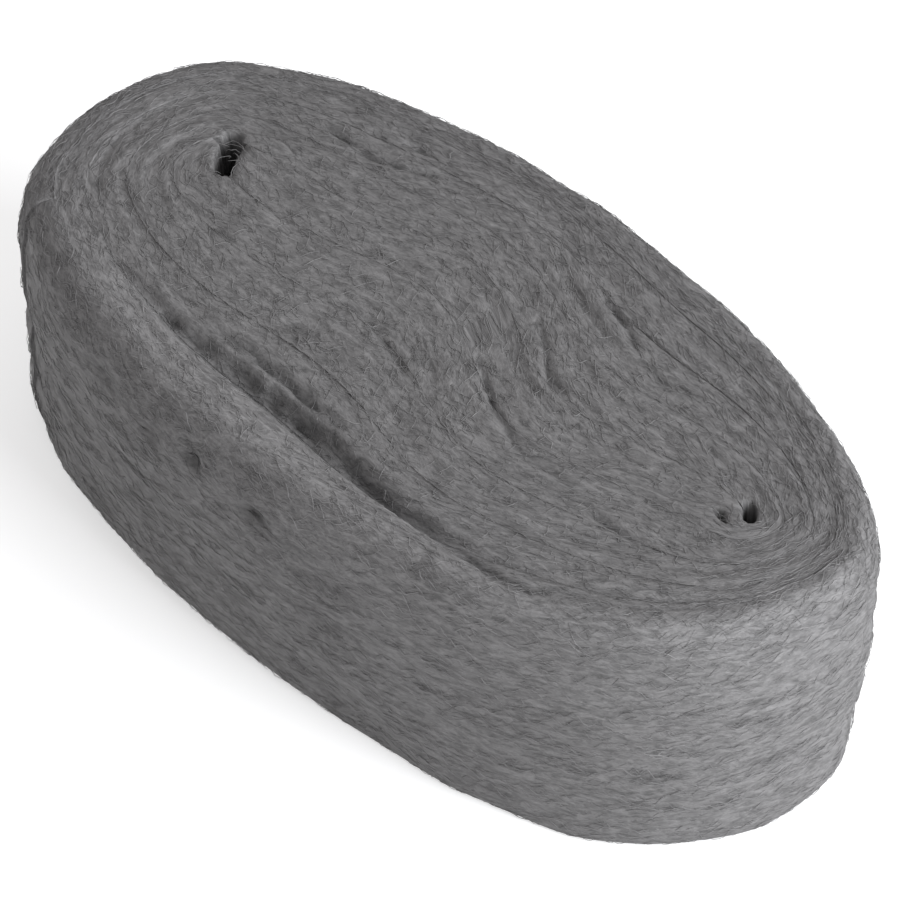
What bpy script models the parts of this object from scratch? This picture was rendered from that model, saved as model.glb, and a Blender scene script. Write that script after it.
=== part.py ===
"""Steel wool hank: one long flat band of steel wool wound round two pins and slipped off.

Metres, +Z up. X runs along the hank and Y across it. It lies on its flat underside, and the
origin is the middle of that side.

The band crosses from one pin to the other in an S. From each end of the S a strand then winds
outwards, counter-clockwise from above, so turns of the two strands lie in each other.
Every point of the band has a turning angle, a layer, counted outwards from the line that joins
the pins, and a height. wound_point turns those three into a place.
"""

import bmesh
import bpy
import numpy as np

# Overall sizes of the hank
LENGTH = 0.190
WIDTH = 0.0990
HEIGHT = 0.0587

# Wool between each pin's hole and the end of the hank beyond it, and how far across each pin
# stood from the middle
WRAP_AT_LEFT = 0.0325
WRAP_AT_RIGHT = 0.0228
LEFT_PIN_ACROSS = 0.0048
RIGHT_PIN_ACROSS = 0.0060

# Layers of band on each side of the S, on average, and how many more on the near side
LAYERS = 4.25
MORE_LAYERS_NEAR = 0.15

# Sizes of the band itself: the gap between two turns where they lie closest, its rounded
# edges, and the thickness that a strand thins out to at its free end
TURN_GAP = 0.00035
CORNER_ROUND = 0.0015
FREE_END_THICKNESS = 0.0010

# Round-over of the hank's outer side at its top and bottom, its flare towards the top, its lean,
# and how far its near side is tucked in at the foot
RIM_ROUND = 0.0075
FOOT_ROUND = 0.0025
FLARE = 0.0015
LEAN_ALONG = 0.0007
LEAN_ACROSS = 0.0021
TUCK = 0.0056
TUCK_MIDDLE_ANGLE = 271.0
TUCK_REACH_ANGLE = 23.0

# Waves that handling pressed into the outline: number round it, depth, and angle of a crest
PRESSED_WAVES = (
    (2, 0.0035, 78.0),
    (3, 0.0014, 13.0),
    (4, 0.0008, 36.0),
)

# The S in the middle pushes its neighbours aside: size of that sway, its centre from the
# middle of the pins, and its half length
SWAY = 0.0080
SWAY_CENTRE = 0.0050
SWAY_REACH = 0.0210

# Holes that the pins left: middle from the pin, half length and half width, turn in degrees
LEFT_HOLE_OFFSET = (0.0002, 0.0)
LEFT_HOLE_SIZE = (0.0054, 0.0016)
LEFT_HOLE_TURN = 122.0
RIGHT_HOLE_OFFSET = (-0.0003, 0.0014)
RIGHT_HOLE_SIZE = (0.0028, 0.0012)
RIGHT_HOLE_TURN = 118.0
HOLE_FADE = 2.0

# Crevice where the near side's outer turn has come away from the next: depth, half width,
# middle and half length along the hank, and the share of the way out at which it lies
CREVICE_DEPTH = 0.0040
CREVICE_SPREAD = 0.0024
CREVICE_MIDDLE = 0.004
CREVICE_REACH = 0.046
CREVICE_SHARE = 0.80
CREVICE_SHARE_REACH = 0.10

# Raised lip along the near side's outer turn, and the lengthwise crease under it
LIP_RISE = 0.0014
LIP_MIDDLE = -0.020
LIP_REACH = 0.050
CREASE_DEPTH = 0.0016
CREASE_HEIGHT = 0.030
CREASE_SPREAD = 0.0055
CREASE_MIDDLE_ANGLE = 222.0
CREASE_REACH_ANGLE = 32.0

# Fineness of the mesh
STATIONS_PER_TURN = 68
RING_SAMPLES = 2880
CORNER_STEPS = 2
OUTER_WALL_STEPS = 4
INNER_WALL_STEPS = 3
SHARP_ANGLE = 55.0

# Softness of the turn-back at a pin, and the powers that shape the rim: its round-over, how
# fast that fades inwards from turn to turn, how the tuck gathers at the foot, and how the lip
# and the crevice gather at the outer turn and the top
PIN_SOFTNESS = 0.12
RIM_POWER = 3.0
INWARD_POWER = 3.0
TUCK_POWER = 2.0
LIP_TURN_POWER = 8.0
TOP_POWER = 4.0

# Winding angles in degrees: where each strand leaves the S
LEFT_STRAND_START = 90.0
RIGHT_STRAND_START = 270.0
HALF_TURN = 180.0
FULL_TURN = 360.0

WOOL_COLOUR = (0.155, 0.155, 0.158, 1.0)
WOOL_ROUGHNESS = 0.55

COLLECTION_NAME = "steel_wool_hank"
NODE_NAME = "wound_wool"


def clear_scene():
    for scene_object in list(bpy.data.objects):
        bpy.data.objects.remove(scene_object, do_unlink=True)


def pressed(angle):
    """Outward push of all the pressed waves at an angle in radians."""
    return sum(
        depth * np.cos(count * (angle - np.radians(crest)))
        for count, depth, crest in PRESSED_WAVES
    )


def pressed_slope(angle):
    """Change of that push with the angle."""
    return sum(
        -count * depth * np.sin(count * (angle - np.radians(crest)))
        for count, depth, crest in PRESSED_WAVES
    )


def half_axes():
    """Half length and half width of the plain ellipse that the waves bring to the overall sizes."""
    along = LENGTH / 2 - (pressed(0.0) + pressed(np.pi)) / 2
    across = WIDTH / 2 - (pressed(np.pi / 2) + pressed(-np.pi / 2)) / 2
    return along, across


def outline(angle):
    """Outline point whose outward normal has this angle: an ellipse's support plus the waves."""
    along, across = half_axes()
    cosine, sine = np.cos(angle), np.sin(angle)
    ellipse = np.hypot(along * cosine, across * sine)
    reach = ellipse + pressed(angle)
    slope = (across**2 - along**2) * sine * cosine / ellipse + pressed_slope(angle)
    return reach * cosine - slope * sine, reach * sine + slope * cosine


def pins():
    """Places of the left and the right pin, along and across the hank."""
    left = np.array([-LENGTH / 2 + WRAP_AT_LEFT, LEFT_PIN_ACROSS])
    right = np.array([LENGTH / 2 - WRAP_AT_RIGHT, RIGHT_PIN_ACROSS])
    return left, right


def pin_line(angle):
    """Place on the line between the pins that a layer at this angle starts from."""
    left, right = pins()
    middle, half_way = (left + right) / 2, (right - left) / 2
    swing = np.cos(angle) / np.hypot(np.cos(angle), PIN_SOFTNESS)
    return middle[0] + half_way[0] * swing, middle[1] + half_way[1] * swing


def layers_at(angle):
    """Layers between the pin line and the outline at this angle."""
    return LAYERS - MORE_LAYERS_NEAR * np.sin(angle)


def gap_in_layers():
    """Half of the gap between two turns, as a share of a layer at the end where layers are thin."""
    thinnest_layer = min(WRAP_AT_LEFT, WRAP_AT_RIGHT) / LAYERS
    return TURN_GAP / 2 / thinnest_layer


def sway(along):
    """Sideways push of the S: up on its left and down on its right, greatest at SWAY_REACH."""
    left, right = pins()
    steps = (along - (left[0] + right[0]) / 2 - SWAY_CENTRE) / SWAY_REACH
    return -SWAY * steps * np.exp((1 - steps**2) / 2)


def open_hole(x, y, pin, offset, size, turn):
    """Push points away from a pin's hole, so that what met in its middle lies on its edge."""
    middle_x, middle_y = pin[0] + offset[0], pin[1] + offset[1]
    cosine, sine = np.cos(np.radians(turn)), np.sin(np.radians(turn))
    lengthwise = (x - middle_x) * cosine + (y - middle_y) * sine
    crosswise = (y - middle_y) * cosine - (x - middle_x) * sine
    inside = np.exp(-((lengthwise / size[0]) ** 2))
    fade = np.exp(-np.abs(crosswise) / (HOLE_FADE * size[1]))
    crosswise = crosswise + np.sign(crosswise) * size[1] * inside * fade
    x = middle_x + lengthwise * cosine - crosswise * sine
    y = middle_y + lengthwise * sine + crosswise * cosine
    return x, y


def bell(value, middle, reach):
    """Smooth bump: 1 at the middle, falling away to 0 past the reach."""
    return np.exp(-(((value - middle) / reach) ** 2))


def angle_bell(angle, middle, reach):
    """The same bump round the hank, for an angle in radians and a middle and reach in degrees."""
    turned = np.mod(np.degrees(angle) - middle + HALF_TURN, FULL_TURN) - HALF_TURN
    return bell(turned, 0.0, reach)


def crease(angle, level):
    """Depth of the lengthwise crease in the near side, at a height in metres."""
    window = angle_bell(angle, CREASE_MIDDLE_ANGLE, CREASE_REACH_ANGLE)
    return CREASE_DEPTH * window * bell(level, CREASE_HEIGHT, CREASE_SPREAD)


def crevice(x, angle, layer, share):
    """Depth of the crevice: it opens where two turns meet, on the near side only."""
    turns_apart = layer - angle / np.pi
    from_meeting = np.abs(turns_apart - np.round(turns_apart)) * WIDTH / 2 / LAYERS
    near = np.clip(-np.sin(angle), 0, 1)
    along = bell(x, CREVICE_MIDDLE, CREVICE_REACH)
    outward = bell(share, CREVICE_SHARE, CREVICE_SHARE_REACH)
    return CREVICE_DEPTH * near * along * outward * bell(from_meeting, 0.0, CREVICE_SPREAD)


def wound_point(angle, layer, rise):
    """Place of a point at a turning angle, so many layers out, at a share of the height."""
    share = layer / layers_at(angle)
    out_x, out_y = outline(angle)
    pin_x, pin_y = pin_line(angle)
    x = (1 - share) * pin_x + share * out_x
    y = (1 - share) * pin_y + share * out_y
    y = y + sway(x) * (1 - np.abs(share))
    left, right = pins()
    x, y = open_hole(x, y, left, LEFT_HOLE_OFFSET, LEFT_HOLE_SIZE, LEFT_HOLE_TURN)
    x, y = open_hole(x, y, right, RIGHT_HOLE_OFFSET, RIGHT_HOLE_SIZE, RIGHT_HOLE_TURN)
    from_middle = np.abs(2 * rise - 1)
    edge_round = np.where(rise > 0.5, RIM_ROUND, FOOT_ROUND)
    round_over = edge_round * (1 - (1 - from_middle**RIM_POWER) ** (1 / RIM_POWER))
    tuck = TUCK * angle_bell(angle, TUCK_MIDDLE_ANGLE, TUCK_REACH_ANGLE) * (1 - rise) ** TUCK_POWER
    outward = np.abs(share) ** INWARD_POWER
    push = FLARE * (2 * rise - 1) - round_over - tuck - crease(angle, rise * HEIGHT)
    push = push * outward
    x = x + push * np.cos(angle) + LEAN_ALONG * (rise - 0.5)
    y = y + push * np.sin(angle) + LEAN_ACROSS * (rise - 0.5)
    near = np.clip(-np.sin(angle), 0, 1)
    lip = LIP_RISE * bell(x, LIP_MIDDLE, LIP_REACH) * near * np.clip(share, 0, 1) ** LIP_TURN_POWER
    lift = (lip - crevice(x, angle, layer, share)) * rise**TOP_POWER
    return np.stack([x, y, rise * HEIGHT + lift], axis=-1)


def turn_angles():
    """Angles of one full turn, close together where a turn bends and spread on its straights."""
    dense = np.linspace(0, 2 * np.pi, RING_SAMPLES + 1)
    middle_layer = wound_point(dense, layers_at(dense) / 2, 0.5)
    steps = np.linalg.norm(np.diff(middle_layer, axis=0), axis=1)
    bend_radius = WIDTH / 4
    travel = np.concatenate([[0], np.cumsum(steps + bend_radius * np.diff(dense))])
    wanted = np.linspace(0, travel[-1], STATIONS_PER_TURN + 1)[:-1]
    return np.degrees(np.interp(wanted, travel, dense))


def strand_angles(start):
    """Angles along one strand, from the S to where its last turn thins out to its free end."""
    turns = int(np.ceil(LAYERS / 2)) + 2
    angles = (np.arange(turns)[:, None] * FULL_TURN + turn_angles()[None, :]).ravel()
    layer = (angles - start) / HALF_TURN
    end_share = FREE_END_THICKNESS * LAYERS / ((WRAP_AT_LEFT + WRAP_AT_RIGHT) / 2)
    thickness = layers_at(np.radians(angles)) - (layer - 0.5)
    return angles[(angles > start) & (thickness > end_share)]


def band_section():
    """Closed section of the band: across it from 0 to 1, and up it from 0 to 1.

    A rectangle with four round corners, listed counter-clockwise from the foot of its outer wall.
    """
    layer_thickness = WIDTH / 2 / LAYERS
    corner_across = CORNER_ROUND / layer_thickness
    corner_up = CORNER_ROUND / HEIGHT
    quarter = np.linspace(0, np.pi / 2, CORNER_STEPS + 1)
    across, up = np.sin(quarter) * corner_across, (1 - np.cos(quarter)) * corner_up
    outer_wall = np.linspace(corner_up, 1 - corner_up, OUTER_WALL_STEPS + 1)[1:-1]
    inner_wall = np.linspace(1 - corner_up, corner_up, INNER_WALL_STEPS + 1)[1:-1]
    foot_out = np.column_stack([1 - corner_across + across, up])
    head_out = np.column_stack([foot_out[::-1, 0], 1 - up[::-1]])
    head_in = np.column_stack([1 - foot_out[:, 0], 1 - up])
    foot_in = np.column_stack([1 - foot_out[::-1, 0], up[::-1]])
    out_points = np.column_stack([np.ones_like(outer_wall), outer_wall])
    in_points = np.column_stack([np.zeros_like(inner_wall), inner_wall])
    top_middle = np.array([[0.5, 1.0]])
    return np.vstack([foot_out, out_points, head_out, top_middle, head_in, in_points, foot_in])


def strand_rings(start, section):
    """Rings of points along one strand: each is the band's section between that turn's walls."""
    angles = strand_angles(start)
    layer = ((angles - start) / HALF_TURN)[:, None]
    angle = np.radians(angles)[:, None]
    gap = gap_in_layers()
    inner_wall = layer - 0.5 + gap
    outer_wall = np.minimum(layer + 0.5 - gap, layers_at(angle))
    layers = inner_wall + (outer_wall - inner_wall) * section[None, :, 0]
    rise = np.broadcast_to(section[None, :, 1], layers.shape)
    return wound_point(np.broadcast_to(angle, layers.shape), layers, rise)


def band_rings():
    """Rings of the whole band, from one free end through the S to the other."""
    section = band_section()
    right_strand = strand_rings(RIGHT_STRAND_START, section)
    turned_section = np.column_stack([1 - section[:, 0], section[:, 1]])
    left_strand = strand_rings(LEFT_STRAND_START, turned_section)
    rings = np.concatenate([left_strand[::-1], right_strand])
    low, high = rings.min(axis=(0, 1)), rings.max(axis=(0, 1))
    middle = np.array([(low[0] + high[0]) / 2, (low[1] + high[1]) / 2, low[2]])
    return rings - middle


def wool_material():
    material = bpy.data.materials.new("steel_wool")
    material.use_nodes = True
    surface = material.node_tree.nodes["Principled BSDF"]
    surface.inputs["Base Color"].default_value = WOOL_COLOUR
    surface.inputs["Metallic"].default_value = 1.0
    surface.inputs["Roughness"].default_value = WOOL_ROUGHNESS
    return material


def wind_band(collection):
    """Make the band as a flat grid, roll it into a bar of rings, close both ends and wind it."""
    rings = band_rings()
    ring_count, point_count = rings.shape[:2]
    band = bmesh.new()
    bmesh.ops.create_grid(band, x_segments=point_count, y_segments=ring_count - 1, size=1.0)
    for vertex in band.verts:
        point = round((vertex.co.x + 1) / 2 * point_count) % point_count
        ring = round((vertex.co.y + 1) / 2 * (ring_count - 1))
        vertex.co = rings[ring, point]
    bmesh.ops.remove_doubles(band, verts=band.verts, dist=1e-6)
    bmesh.ops.holes_fill(band, edges=band.edges, sides=0)
    bmesh.ops.recalc_face_normals(band, faces=band.faces)
    mesh = bpy.data.meshes.new(NODE_NAME)
    band.to_mesh(mesh)
    band.free()
    mesh.shade_smooth()
    mesh.set_sharp_from_angle(angle=np.radians(SHARP_ANGLE))
    mesh.materials.append(wool_material())
    collection.objects.link(bpy.data.objects.new(NODE_NAME, mesh))


def main():
    clear_scene()
    collection = bpy.data.collections.new(COLLECTION_NAME)
    bpy.context.scene.collection.children.link(collection)
    wind_band(collection)


main()
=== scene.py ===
# %% [markdown]
# # A hank of steel wool
#
# Steel wool is shaved off a steel wire as thousands of long fibres, which leave the machine side
# by side as one flat, soft band. The band is wound round two pins into an oval hank and slipped
# off. This script dresses the solid hank of the model: it makes the band again with a finer
# surface, and lays fibres on it in the direction in which they run.
#
# The first cell loads the model and keeps its box, because the dressed hank has to fit that box.

# %% Load the model
import bpy
import numpy as np
from mathutils import Matrix, Vector


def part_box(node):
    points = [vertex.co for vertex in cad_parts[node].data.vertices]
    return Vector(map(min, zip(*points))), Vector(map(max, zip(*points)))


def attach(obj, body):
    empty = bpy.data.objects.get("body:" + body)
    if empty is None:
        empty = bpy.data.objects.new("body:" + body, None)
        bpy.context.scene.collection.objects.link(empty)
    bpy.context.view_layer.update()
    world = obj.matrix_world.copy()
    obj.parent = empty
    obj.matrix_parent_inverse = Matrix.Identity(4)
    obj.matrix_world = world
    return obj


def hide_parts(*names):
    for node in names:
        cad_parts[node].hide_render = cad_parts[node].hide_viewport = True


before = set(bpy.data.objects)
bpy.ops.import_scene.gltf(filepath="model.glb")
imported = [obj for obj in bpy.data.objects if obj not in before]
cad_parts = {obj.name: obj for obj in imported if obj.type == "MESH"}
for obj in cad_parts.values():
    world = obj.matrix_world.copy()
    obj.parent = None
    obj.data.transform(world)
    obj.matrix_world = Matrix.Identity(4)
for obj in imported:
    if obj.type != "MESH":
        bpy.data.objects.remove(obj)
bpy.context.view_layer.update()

low_corner, high_corner = (np.array(corner, float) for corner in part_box("wound_wool"))
print("hank box in mm:", np.round((high_corner - low_corner) * 1000, 1))

# %% [markdown]
# ## How the band is wound
#
# Every point of the hank has three numbers: a turning angle, a layer, counted outwards from the
# line between the two pins, and a rise, its share of the height. A ring at a layer is a blend of
# the line between the pins and of the hank's outline, so rings lie in each other and never cross.
# The band is a spiral through those rings, one layer further out with each half turn. Everything
# in this scene is placed through these three numbers, so the fibres follow the turns for free.
#
# The outline could be a list of points. A support function is shorter and always smooth: it
# gives how far the outline reaches in each direction, here an ellipse's reach plus a few waves
# that handling has pressed into the hank.

# %% Sizes of the hank, in metres and degrees
LENGTH, WIDTH, HEIGHT = 0.190, 0.0990, 0.0587
WRAP_AT_LEFT, WRAP_AT_RIGHT = 0.0325, 0.0228
LEFT_PIN = (-LENGTH / 2 + WRAP_AT_LEFT, 0.0048)
RIGHT_PIN = (LENGTH / 2 - WRAP_AT_RIGHT, 0.0060)
LAYERS, MORE_LAYERS_NEAR = 4.25, 0.15
# Below zero: neighbouring turns hook into each other by this much, and leave no gap
TURN_GAP = -0.00002
FREE_END_THICKNESS = 0.0004
RIM_ROUND, FOOT_ROUND, FLARE = 0.0075, 0.0025, 0.0015
LEAN_ALONG, LEAN_ACROSS = 0.0007, 0.0021
TUCK, TUCK_ANGLE, TUCK_REACH = 0.0056, 271.0, 23.0
PRESSED_WAVES = ((2, 0.0035, 78.0), (3, 0.0014, 13.0), (4, 0.0008, 36.0))
SWAY, SWAY_CENTRE, SWAY_REACH = 0.0080, 0.0050, 0.0210
PIN_SOFTNESS = 0.12
LEFT_START, RIGHT_START = 90.0, 270.0
HALF_TURN, FULL_TURN = 180.0, 360.0
RIM_POWER, TUCK_POWER, INWARD_POWER, LIP_TURN_POWER, TOP_POWER = 3, 2, 3, 8, 4
MEAN_LAYER = WIDTH / 2 / LAYERS
MM = 0.001
print("one layer in mm:", round(MEAN_LAYER / MM, 1))

# %% Outline, rings and the place of any point


def pressed(angle):
    """Sum of cosine waves round the hank, and its slope, from count, depth and crest angle."""
    push = sum(d * np.cos(n * (angle - np.radians(c))) for n, d, c in PRESSED_WAVES)
    slope = sum(-n * d * np.sin(n * (angle - np.radians(c))) for n, d, c in PRESSED_WAVES)
    return push, slope


HALF_ALONG = LENGTH / 2 - (pressed(0.0)[0] + pressed(np.pi)[0]) / 2
HALF_ACROSS = WIDTH / 2 - (pressed(np.pi / 2)[0] + pressed(-np.pi / 2)[0]) / 2


def outline(angle):
    """Point with this outward normal: reach times the normal plus the reach's slope times the
    tangent, where the reach is the root of (half length x cosine)^2 + (half width x sine)^2,
    plus the pressed waves."""
    cosine, sine = np.cos(angle), np.sin(angle)
    push, push_slope = pressed(angle)
    ellipse = np.hypot(HALF_ALONG * cosine, HALF_ACROSS * sine)
    slope = (HALF_ACROSS**2 - HALF_ALONG**2) * sine * cosine / ellipse + push_slope
    reach = ellipse + push
    return reach * cosine - slope * sine, reach * sine + slope * cosine


def layers_at(angle):
    """Layers from the pin line out to the outline at this angle."""
    return LAYERS - MORE_LAYERS_NEAR * np.sin(angle)


def sway(along):
    """Sideways push of the S: a wave of one hump and one dip, t times exp((1 - t^2) / 2)."""
    steps = (along - (LEFT_PIN[0] + RIGHT_PIN[0]) / 2 - SWAY_CENTRE) / SWAY_REACH
    return -SWAY * steps * np.exp((1 - steps**2) / 2)


def bell(value, middle, reach):
    """Smooth bump: 1 at the middle and falling to 0 past the reach."""
    return np.exp(-(((value - middle) / reach) ** 2))


def angle_bell(angle, middle, reach):
    """The same bump round the hank, for an angle in radians and the rest in degrees."""
    turned = np.mod(np.degrees(angle) - middle + HALF_TURN, FULL_TURN) - HALF_TURN
    return bell(turned, 0, reach)


print("half sizes of the plain ellipse in mm:", HALF_ALONG / MM, HALF_ACROSS / MM)


# %% [markdown]
# ## Irregularity
#
# Wool is irregular along its fibres over centimetres, and across them over fractions of a
# millimetre. A lattice of random numbers, blended smoothly and stretched along the band, gives
# such streaks. Blender's own noise textures could do the same, but their values are not at hand
# when points are moved in numpy.

# %% Stretched noise
NOISE_CELLS = 251


def lattice_noise(along, across, seed, period=NOISE_CELLS):
    """Random numbers on a square lattice, blended between corners with 3t^2 - 2t^3. Along, the
    lattice starts again after a number of cells, so it can close round the hank."""
    table = np.random.default_rng(seed).random((NOISE_CELLS, NOISE_CELLS))
    cell_a, cell_b = np.floor(along).astype(int), np.floor(across).astype(int)
    part_a, part_b = along - cell_a, across - cell_b
    part_a, part_b = part_a**2 * (3 - 2 * part_a), part_b**2 * (3 - 2 * part_b)
    corner = [
        [table[(cell_a + i) % period, (cell_b + j) % NOISE_CELLS] for j in (0, 1)]
        for i in (0, 1)]
    near = corner[0][0] * (1 - part_b) + corner[0][1] * part_b
    far = corner[1][0] * (1 - part_b) + corner[1][1] * part_b
    return near * (1 - part_a) + far * part_a


print("noise cells a side:", NOISE_CELLS)


# %% [markdown]
# ## Creases and holes
#
# The photograph shows where turns part and where the wool is pulled: a deep crevice inside the near
# outer turn, lines that follow the S, and short pits in the near side. Each line is a few given
# points in millimetres, with a half width and a depth. Noise breaks each line into dashes, because
# fibres bridge a crease here and there. Turns alone would part everywhere by the same amount, which
# looks machined, so the lines are added to them.

# %% Crease lines on the upper face, in millimetres
CREASES = (
    # half width, depth, points of the line seen from above
    (1.4, 1.9, ((-50, -30.2), (-35, -31.6), (-19, -32.4), (-8, -33.2), (3.4, -33.4), (9, -33.1),
                (16.4, -34.5), (21.2, -35.4), (37.6, -35.1), (50.9, -34.5), (61, -32.0))),
    (1.7, 2.6, ((-27, -31.6), (-14, -32.0), (-2, -32.3), (11, -32.8))),
    (1.1, 1.6, ((-33.8, -28.7), (-29.3, -27.8), (-10.7, -27.5), (-0.7, -28.3), (7.7, -29.3))),
    (0.8, 0.9, ((6, 2.8), (13.9, -1.8), (20.7, -6.0), (25.9, -7.9), (30.7, -9.5), (35.5, -9.1),
                (45.2, -9.9))),
    (0.8, 0.9, ((-22.4, -9.0), (-15.3, -5.5), (-8.9, -6.5), (-0.6, -9.4), (6.0, -11.9))),
    (0.8, 0.9, ((-23.6, -18.0), (-19.6, -16.7), (-9.2, -16.4))),
    (0.8, 1.1, ((-57.7, 24.4), (-53.0, 25.2), (-44.9, 25.4), (-38.4, 27.1), (-30.7, 30.1))),
    (0.8, 0.8, ((-50.7, 29.6), (-43.5, 32.0), (-36.4, 34.3))),
    (0.8, 1.1, ((12.5, 29.5), (15.7, 28.9), (21.4, 27.1), (27.9, 24.3))),
    (0.8, 0.8, ((8.9, 16.0), (14.9, 12.7), (22.1, 6.8), (27.1, 6.3))),
    (0.8, 0.9, ((48.0, -11.6), (56.7, -11.4), (64.0, -10.0))),
    (0.8, 0.8, ((34.0, 20.8), (38.8, 22.4), (44.0, 23.6))),
)
LINE_FADE = 0.25
FADE_POWER = 0.7
BREAK_LONG, BREAK_WIDE, BREAK_SEED, LEAST_CREASE = 3.5, 0.9, 31, 0.25
# Line, half width and half height in millimetres, and strength, of the painted highlight on the
# near lip
LIP_LINE = ((-76, -16), (-66, -26), (-55, -32), (-40, -37), (-20, -40), (0, -41.5), (20, -41.5),
            (40, -38.5), (60, -32.5))
LIP_HALF_WIDTH, LIP_HALF_HEIGHT, LIP_PAINTED_HIGHLIGHT = 5.5, 11.0, 0.22
# Depth in millimetres that counts as 1 when painted shade darkens the creases
DEEP = 3.0


def near_line(x, y, points, half_width):
    """1 on a line and 0 away from it: a bell over the distance across it, faded over the last
    part of its length at either end."""
    line = np.array(points) * MM
    across = y - np.interp(x, line[:, 0], line[:, 1])
    to_end = np.minimum(x - line[0, 0], line[-1, 0] - x)
    fade = np.clip(to_end / (LINE_FADE * (line[-1, 0] - line[0, 0])), 0, 1) ** FADE_POWER
    return fade * bell(across, 0, half_width * MM)


def crease_depth(x, y):
    """Depth of all creases at a place: the greatest of their own, broken up by noise."""
    deepest = np.zeros(np.broadcast(x, y).shape)
    for half_width, depth, points in CREASES:
        deepest = np.maximum(deepest, depth * MM * near_line(x, y, points, half_width))
    breaks = lattice_noise(x / (BREAK_LONG * MM), y / (BREAK_WIDE * MM), BREAK_SEED)
    return deepest * (LEAST_CREASE + 2 * (1 - LEAST_CREASE) * breaks)


print("crease lines:", len(CREASES))


# %% Holes that the pins left
HOLES = (
    # middle x and y, half length, half width and depth in millimetres, turn in degrees
    (-63.9, 6.2, 5.3, 1.6, 16.0, 126.0),
    (70.7, 8.7, 2.2, 1.1, 12.0, 131.0),
    (67.4, 4.6, 1.3, 0.8, 2.5, 150.0),
)
# The last of these is how strongly painted shade darkens the holes
HOLE_EDGE, HOLE_POWER, LARGEST_EXPONENT, HOLE_PAINTED_SHADE = 20.0, 4, 50, 2.6


def hole_shares(x, y):
    """For each hole: 1 inside it and 0 outside, a soft step where the fourth powers of the
    distances along and across it, in half lengths and half widths, add up to 1."""
    shares = []
    for middle_x, middle_y, half_length, half_width, _, turn in HOLES:
        cosine, sine = np.cos(np.radians(turn)), np.sin(np.radians(turn))
        off_x, off_y = x - middle_x * MM, y - middle_y * MM
        lengthwise = (off_x * cosine + off_y * sine) / (half_length * MM)
        crosswise = (off_y * cosine - off_x * sine) / (half_width * MM)
        away = (lengthwise**HOLE_POWER + crosswise**HOLE_POWER) ** (1 / HOLE_POWER)
        exponent = np.clip((away - 1) * HOLE_EDGE, -LARGEST_EXPONENT, LARGEST_EXPONENT)
        shares.append(1 / (1 + np.exp(exponent)))
    return np.array(shares)


print("holes:", len(HOLES))


# %% [markdown]
# ## Relief of the outside
#
# The outside is the last turn's outer face. Streaks of noise run round it, and a few short pits
# lie where the photograph shows them. The noise closes after one round of the hank, or the two
# ends would meet in a step.

# %% Relief of the outside
DENSE_STEPS = 2880
DENSE_ANGLES = np.linspace(0, 2 * np.pi, DENSE_STEPS + 1)
waist = np.stack(outline(DENSE_ANGLES), axis=-1)
WAIST_TRAVEL = np.append(0, np.cumsum(np.linalg.norm(np.diff(waist, axis=0), axis=1)))
GIRTH = WAIST_TRAVEL[-1]
SIDE_PITS = (
    # angle in degrees, rise, half length, half height and depth in millimetres
    (267.5, 0.85, 2.2, 1.3, 2.4),
    (272.3, 0.83, 3.0, 1.2, 2.2),
    (264.0, 0.83, 3.0, 1.2, 1.2),
    (275.0, 0.80, 3.0, 1.2, 1.2),
    (259.0, 0.86, 4.0, 1.2, 1.0),
    (261.0, 0.52, 7.0, 1.2, 1.0),
)
OUTSIDE_STREAKS, STREAK_TALL, STREAK_DEEP, STREAK_SEED = 37, 2.6 * MM, 0.9, 7
OUTSIDE_LUMPS, LUMP_TALL, LUMP_DEEP, LUMP_SEED = 19, 8 * MM, 1.3, 9


def outside_relief(angle, level):
    """Depth below the plain outside: streaks and lumps about their mean, and the pits."""
    along = np.interp(np.mod(angle, 2 * np.pi), DENSE_ANGLES, WAIST_TRAVEL)
    round_way = along / GIRTH
    streak = lattice_noise(
        round_way * OUTSIDE_STREAKS, level / STREAK_TALL, STREAK_SEED, OUTSIDE_STREAKS)
    lump = lattice_noise(round_way * OUTSIDE_LUMPS, level / LUMP_TALL, LUMP_SEED, OUTSIDE_LUMPS)
    depth = (STREAK_DEEP * (streak - 0.5) + LUMP_DEEP * (lump - 0.5)) * MM
    for middle, rise_share, half_length, half_height, pit in SIDE_PITS:
        middle_along = np.interp(np.radians(middle), DENSE_ANGLES, WAIST_TRAVEL)
        window = bell(along, middle_along, half_length * MM)
        depth = depth + pit * MM * window * bell(level, rise_share * HEIGHT, half_height * MM)
    return depth


print("pits in the side:", len(SIDE_PITS))


# %% The place of any point
CREVICE_DEPTH, CREVICE_SPREAD = 0.0040, 0.0024
CREVICE_MIDDLE, CREVICE_REACH = 0.004, 0.046
CREVICE_SHARE, CREVICE_SHARE_REACH = 0.80, 0.10
LIP_RISE, LIP_MIDDLE, LIP_REACH = 0.0014, -0.020, 0.050
SIDE_CREASE_DEPTH, SIDE_CREASE_HEIGHT, SIDE_CREASE_SPREAD = 0.0016, 0.030, 0.0055
SIDE_CREASE_ANGLE, SIDE_CREASE_REACH = 222.0, 32.0


def crevice(x, angle, layer, share):
    """Depth of the valley where two turns part on the near side: a product of bells over the
    place along the hank, the way out, and the distance from where turns meet."""
    turns_apart = layer - angle / np.pi
    from_meeting = np.abs(turns_apart - np.round(turns_apart)) * MEAN_LAYER
    valley = bell(x, CREVICE_MIDDLE, CREVICE_REACH) * bell(from_meeting, 0, CREVICE_SPREAD)
    return CREVICE_DEPTH * valley * bell(share, CREVICE_SHARE, CREVICE_SHARE_REACH)


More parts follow.
